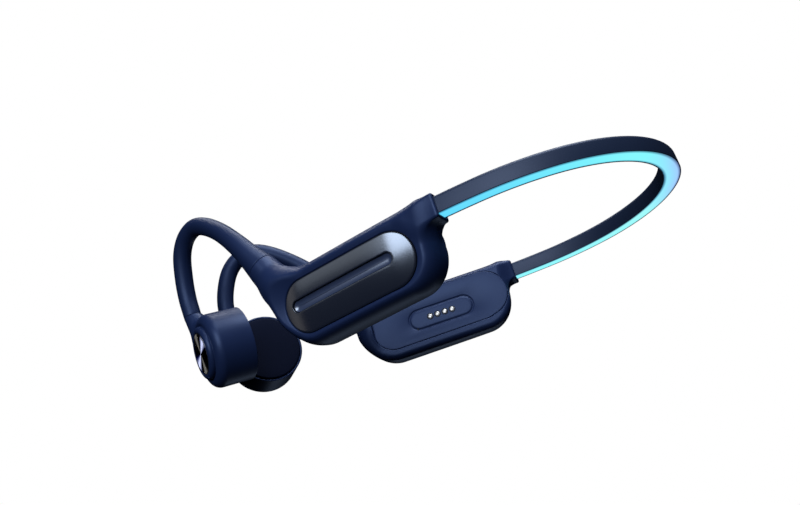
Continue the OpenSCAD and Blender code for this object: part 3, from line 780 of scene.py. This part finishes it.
def contact_meshes():
    """Four domed contacts, and a dark rim round each, with a small near-black dot beside them: painted
    shade standing in for a pinhole.
    """
    face = -OUTER_X
    dome = [(CONTACT_RADIUS, 2.0), (CONTACT_RADIUS, 0.05)]
    dome += [(CONTACT_RADIUS * math.cos(a), 0.05 - 0.28 * math.sin(a)) for a in np.linspace(0.2, 1.4, 7)]
    inner = CONTACT_RADIUS + 0.04
    rim = [(CONTACT_RIM, 0.5), (CONTACT_RIM, -0.02), (1.05, -0.08), (0.95, -0.06)]
    rim += [(inner, 0.02), (inner, 0.5)]
    # A near-black stub in the gasket finish: painted shade where a pinhole is.
    pinhole_shade_dot = [(0.26, -0.03), (0.2, -0.04), (0.2, 0.4)]

    def turned(profile, sides, y, z):
        points, faces = revolve([(r, face + x) for r, x in profile], sides)
        return points + [0, y, z], faces

    places = [DOCK_Y + (i - (CONTACTS - 1) / 2) * CONTACT_PITCH for i in range(CONTACTS)]
    domes = [turned(dome, 48, y, DOCK_Z) for y in places]
    rims = [turned(rim, 48, y, DOCK_Z) for y in places] + [turned(pinhole_shade_dot, 24, -6.1, -3.8)]
    return joined(domes), joined(rims)


dome_mesh, rims_and_pinhole_shade_mesh = contact_meshes()
domes = put("contact_domes", *dome_mesh, MODULE, SIDES["right"], sharp=40)
finish_piece(domes, "right_arm", "contact_plating", "charging_contacts")
# The rims' gasket finish also carries the pinhole's painted shade.
finish_piece(put("contact_rims", *rims_and_pinhole_shade_mesh, MODULE, SIDES["right"]), "right_arm", "gasket")

# ---- Ear hook
ROUTE = np.array(HOOK_ROUTE)


def route_at(s):
    """The smooth curve through the route's points, with its radius, at s points from the start."""
    i = min(int(s), len(ROUTE) - 2)
    t = s - i
    b, c = ROUTE[i], ROUTE[i + 1]
    a = ROUTE[i - 1] if i else 2 * b - c
    d = ROUTE[i + 2] if i + 2 < len(ROUTE) else 2 * c - b
    return 0.5 * (2 * b + (c - a) * t + (2 * a - 5 * b + 4 * c - d) * t * t
                  + (3 * b - a - 3 * c + d) * t ** 3)


def heading(s):
    """The direction of the hook's route at s."""
    step = 0.02
    ahead = route_at(min(s + step, len(ROUTE) - 1))[:3] - route_at(max(s - step, 0))[:3]
    return ahead / np.linalg.norm(ahead)


def hook_ring(s, less=0.0):
    """A ring round the hook at s, smaller than the route's radius by less."""
    sides = 56
    way = heading(s)
    across = np.cross(way, [1, 0, 0])
    across /= np.linalg.norm(across)
    outwards = np.cross(across, way)
    angles = np.linspace(0, 2 * math.pi, sides, endpoint=False)[:, None]
    point = route_at(s)
    return point[:3] + (point[3] - less) * (np.cos(angles) * across + np.sin(angles) * outwards)


def make_hook():
    """A tube along the route, with its edges rounded at both ends."""
    last = len(ROUTE) - 1
    edge = ((0.0, 0.9), (0.0, 0.12), (0.01, 0.05), (0.025, 0.01))
    rings = [hook_ring(s, less) for s, less in edge]
    rings += [hook_ring(s) for s in np.linspace(0, last, last * 12 + 1)[1:-1]]
    rings += [hook_ring(last - s, less) for s, less in edge[::-1]]
    return loft(rings)


hook_mesh = make_hook()

# ---- Transducer pod, in its own directions: x from the contact pad to the button disc, z up to the hook.
# Profiles are [radius, x]
POD_RADIUS = 11.5
POD_DEPTH = 14.2
SEAM_X = -POD_DEPTH + 1.6
DISC_RADIUS = 6.3
RIM_X = -1.1
PAD_RADIUS = 10.7
BOSS_RADIUS = 8.3
PAD_GAP, DISC_GAP = 0.08, 0.12
MICROPHONE_Z, MICROPHONE_HOLE = -7.4, 0.34
pod_profile = (
    [(0, SEAM_X), (PAD_RADIUS + PAD_GAP, SEAM_X), (PAD_RADIUS + PAD_GAP, 0.25 - POD_DEPTH)]
    + arc(POD_RADIUS - 0.6, 0.75 - POD_DEPTH, 0.6, -95, 0, 12)
    + arc(POD_RADIUS - 2.9, RIM_X - 3.1, 2.9, 0, 80, 18)
    + [(BOSS_RADIUS + 0.3, RIM_X - 0.45), (BOSS_RADIUS + 0.08, RIM_X - 0.6)]
    + [(BOSS_RADIUS - 0.1, RIM_X - 0.5)]
    + arc(BOSS_RADIUS - 1.3, -1.2, 1.25, 0, 90, 12)
    + [(DISC_RADIUS + 0.35, 0.02), (DISC_RADIUS + DISC_GAP, -0.2)]
    + [(DISC_RADIUS + DISC_GAP, -1.5), (0, -1.5)])
# The profile is mirrored across the axis, so that its distance has no edge at radius 0
pod_outline = Outline(pod_profile + [(-r, x) for r, x in pod_profile[::-1]][1:-1], 0.06, 4.0)
NECK_END = POD.into(MODULE.out(ROUTE[-1][:3]))
NECK_WAY = POD.axes @ (heading(len(ROUTE) - 1) @ MODULE.axes)
POD_NECK = [(*NECK_END, 2.75), (-5, -4.6, 5, 4.6), (-3.4, -5.8, 2.0, 3.1)]


def pod_field(p):
    """The housing with its neck to the hook, and the microphone's hole."""
    radius = np.hypot(p[:, 1], p[:, 2])
    neck = bent_limb(p, POD_NECK, 1.5)
    bore = np.maximum(radius - BOSS_RADIUS - 0.35, -p[:, 0] - 1.9)
    shape = smooth_union(pod_outline(radius, p[:, 0]), cut(neck, bore, 0.35), 1.6)
    hole = round_cone(p, *((x, 0, MICROPHONE_Z, MICROPHONE_HOLE) for x in (-3.0, 3.0)))
    shape = cut(shape, hole, 0.15)
    return with_clean_end(shape, p, 6, HOOK_GAP - (p - NECK_END) @ NECK_WAY)


pod_low = np.minimum((-13.5, -13, -12.6), NECK_END - 4)
pod_high = np.maximum((1.2, 13, 12.6), NECK_END + 4)
pod_mesh = field_surface(pod_field, pod_low, pod_high, 0.17)

pad_profile = ([(3.0, -POD_DEPTH), (7.0, 0.02 - POD_DEPTH), (9.0, 0.06 - POD_DEPTH)]
               + arc(PAD_RADIUS - 0.5, 0.62 - POD_DEPTH, 0.5, -90, 0, 8) + [(PAD_RADIUS, SEAM_X - 0.04)])
disc_profile = ([((DISC_RADIUS - 0.4) * k / 8, 0.05) for k in range(1, 9)]
                + arc(DISC_RADIUS - 0.3, -0.25, 0.3, 90, 0, 6) + [(DISC_RADIUS, -1.0)])
MAP_REACH = 10
NEAR_AXIS = 0.01


def give_turned_map(obj, sign):
    """A map that runs round the disc in one direction and out from its centre in the other."""
    mesh = obj.data
    layer = mesh.uv_layers.new(name="turned")
    for polygon in mesh.polygons:
        corners = [mesh.vertices[v].co for v in polygon.vertices]
        spots = [POD.into(np.array(co) * (sign, 1, 1) / MM) for co in corners]
        radii = [math.hypot(q[1], q[2]) for q in spots]
        turns = [math.atan2(q[2], q[1]) / (2 * math.pi) for q in spots]
        off_axis = [k for k, r in enumerate(radii) if r > NEAR_AXIS]
        base = turns[off_axis[0]]
        turns = [base + ((t - base + 0.5) % 1.0) - 0.5 for t in turns]
        middle = sum(turns[k] for k in off_axis) / len(off_axis)
        for loop, turn, r in zip(polygon.loop_indices, turns, radii):
            layer.data[loop].uv = (turn if r > NEAR_AXIS else middle, r / MAP_REACH)


for side, sign in SIDES.items():
    arm = side + "_arm"
    hook = put(side + "_hook", *hook_mesh, MODULE, sign, sharp=40)
    finish_piece(hook, arm, "hook_silicone", side + "_ear_hook")
    pod = put(side + "_pod", *pod_mesh, POD, sign)
    finish_piece(pod, arm, "shell", side + "_pod_housing")
    pad = put(side + "_pad", *revolve(pad_profile), POD, sign, sharp=40)
    finish_piece(pad, arm, "contact_pad", side + "_contact_pad")
    disc = put(side + "_disc", *flipped(revolve(disc_profile)), POD, sign, sharp=40)
    give_turned_map(disc, sign)
    finish_piece(disc, side + "_button", "spun_metal", side + "_button_disc")


# ---- Neckband. Sections are [out of the band, up], and "thin" is what is taken off each side
HALF_T, HALF_H = 2.8, 2.4
TOP_RADIUS, LOW_RADIUS = 1.1, 0.18
STRIP_HALF = 2.3
STRIP_DEPTH = 1.0
STRIP_RADIUS, STRIP_TOP_RADIUS = 0.2, 0.1
STRIP_GAP = 0.05
STRIP_TOP = STRIP_DEPTH - HALF_H
CORE_RADIUS, CORE_X = 0.55, 0.65
MAP_DEGREES = 200


def band_point(phi, x, z):
    """A point of the band's section, at an angle round the band."""
    i = 0 if phi < ARC_ENDS[0] else 1 if phi < ARC_ENDS[1] else 2
    q = ARC_CENTRES[i] + (ARC_RADII[i] + x) * band_normal(phi)
    return q[0], q[1], BAND_Z + z


def sleeve_section(thin):
    """The silicone sleeve, with a channel below for the strip."""
    t = HALF_T - thin
    channel = min(STRIP_HALF + STRIP_GAP, t - 0.3)
    foot = LOW_RADIUS + 0.02 - HALF_H
    return (arc(t - TOP_RADIUS, HALF_H - TOP_RADIUS, TOP_RADIUS, 0, 90, 8)
            + arc(TOP_RADIUS - t, HALF_H - TOP_RADIUS, TOP_RADIUS, 90, 180, 8)
            + arc(LOW_RADIUS - t, LOW_RADIUS - HALF_H, LOW_RADIUS, 180, 270, 6)
            + [(-channel, foot), (-channel, STRIP_TOP), (channel, STRIP_TOP), (channel, foot)]
            + arc(t - LOW_RADIUS, LOW_RADIUS - HALF_H, LOW_RADIUS, 270, 360, 6))


def strip_section(thin):
    """The lit strip, whose face stands a little below the sleeve."""
    w = min(STRIP_HALF, HALF_T - thin - 0.35)
    top = STRIP_TOP - 0.12
    foot = STRIP_RADIUS + 0.02 - HALF_H
    return (arc(0.12 - w, top, STRIP_TOP_RADIUS, 90, 180, 2)
            + arc(STRIP_RADIUS - w, foot, STRIP_RADIUS, 180, 265, 5)
            + [(-w / 2, -HALF_H - 0.02), (0, -HALF_H - 0.03), (w / 2, -HALF_H - 0.02)]
            + arc(w - STRIP_RADIUS, foot, STRIP_RADIUS, 275, 360, 5)
            + arc(w - 0.12, top, STRIP_TOP_RADIUS, 0, 90, 2))


def core_section(x):
    """A wire or cable, which is as thick all along the band."""
    points = arc(x, STRIP_TOP + 0.85, CORE_RADIUS, 0, 345, 23)
    return lambda thin: points


def band_thin(phi):
    """The band is slightly thinner round its rearmost stretch."""
    return 0.25 * (1 - eased((phi - 15) / 50))


def band_loft(section, end):
    """Half of the band, from straight back to an angle, and the angles of its rings."""
    angles = np.concatenate([np.linspace(0, ARC_ENDS[0], 72)[:-1],
                             np.linspace(ARC_ENDS[0], ARC_ENDS[1], 22)[:-1],
                             np.linspace(ARC_ENDS[1], end, 14)])
    rings = [[band_point(phi, x, z) for x, z in section(band_thin(phi))] for phi in angles]
    return loft(rings), angles


def band_map(obj, section, angles, sign):
    """A map that runs from the right end of the band to the left, and across it from inside to outside."""
    mesh = obj.data
    layer = mesh.uv_layers.new(name="along")
    sides = len(section(0))
    across = [min(max((x + STRIP_HALF) / (2 * STRIP_HALF), 0), 1) for x, z in section(0)]
    for polygon in mesh.polygons:
        for k in polygon.loop_indices:
            v = mesh.loops[k].vertex_index
            ring = min(v // sides, len(angles) - 1)
            layer.data[k].uv = (0.5 + sign * angles[ring] / MAP_DEGREES, across[v % sides])


BAND_PARTS = [
    # Piece, slot, section, degrees that it runs on past the last arc, CAD nodes
    ("sleeve", "band_silicone", sleeve_section, 1.4, "band_sleeve_"),
    ("strip", "light_strip", strip_section, 0.35, "light_strip_"),
    ("wire", "titanium_wire", core_section(-CORE_X), 1.2, "band_wire_"),
    ("cable", "cable_jacket", core_section(CORE_X), 1.2, "signal_cable_"),
]
for side, sign in SIDES.items():
    for name, slot, section, run_on, node in BAND_PARTS:
        mesh, angles = band_loft(section, ARC_ENDS[2] + run_on)
        obj = put(side + "_band_" + name, *mesh, None, sign, sharp=50)
        if name == "strip":
            band_map(obj, section, angles, sign)
        wear(obj, slot)
        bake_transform(obj)
        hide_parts(node + "rear", node + side)

# ---- Pieces that stay as the CAD made them, with their own finishes
for part in frame["record"]["subparts"]:
    obj = frame["nodes"][part["node"]]
    obj.data.materials.clear()
    obj.data.materials.append(finishes[part["material_slot"]])


# ---- Lights
def light_only(light, *pieces, others=False):
    """Keep a light on some pieces, or on all the others, given the ends of their names."""
    lit = bpy.data.collections.new(light.name + "_receivers")
    for obj in bpy.data.objects:
        if obj.type == "MESH" and obj.name.endswith(pieces) != others:
            lit.objects.link(obj)
    light.light_linking.receiver_collection = lit


# The floor is made after these, so that the linked lights leave it out
key = soft_box("key", (-0.55, 0.32, 0.56), (240, 220), 4.2, (0.62, 0.76, 1.0))
light_only(key, "_panel", "_touch_trough")
card = soft_box("card", (-0.66, -0.2, -0.73), (380, 380), 0.9, (0.88, 0.92, 1.0))
light_only(card, "_disc")
soft_box("sky", (0.0, 1.0, -0.05), (420, 260), 2.2, (0.86, 0.92, 1.0))
broad = soft_box("broad", (-0.4, 0.5, 0.9), (500, 420), 3.6, (0.88, 0.93, 1.0), distance=700)
light_only(broad, "_panel", others=True)
left = soft_box("left", (-0.87, 0.30, 0.40), (320, 160), 0.32, (0.78, 0.88, 1.0))
light_only(left, "_panel")
warm = soft_box("warm", (-0.97, -0.1, 0.1), (90, 300), 0.08, (1.0, 0.96, 0.92))
light_only(warm, "_panel")
soft_box("rim_high", (-0.2, 0.75, -0.65), (520, 60), 0.7)
soft_box("rim_low", (0.3, -0.75, -0.6), (420, 50), 0.13, (0.6, 0.75, 1.0))

FLOOR_RADIUS, FLOOR_Z, FLOOR_SIDES = 1400, -350.0, 96
FLOOR_GREY = (0.82, 0.82, 0.82)


def make_floor():
    """A pale round floor well below the object, which floats in the photo. It glows a little."""
    angles = np.linspace(0, 2 * math.pi, FLOOR_SIDES, endpoint=False)
    ring = FLOOR_RADIUS * np.stack([np.cos(angles), np.sin(angles)], 1)
    points = np.column_stack([np.vstack([ring, [[0, 0]]]), np.full(FLOOR_SIDES + 1, FLOOR_Z)])
    floor = put("floor", points, [(k, (k + 1) % FLOOR_SIDES, FLOOR_SIDES) for k in range(FLOOR_SIDES)])
    paint = plastic("floor_paint", FLOOR_GREY, 0.7, grain=900.0, variation=0.02)
    shader = paint.node_tree.nodes["Principled BSDF"]
    shader.inputs["Emission Color"].default_value = (*FLOOR_GREY, 1)
    shader.inputs["Emission Strength"].default_value = 0.6
    floor.data.materials.append(paint)
    floor.visible_glossy = False
    floor.visible_diffuse = False


make_floor()
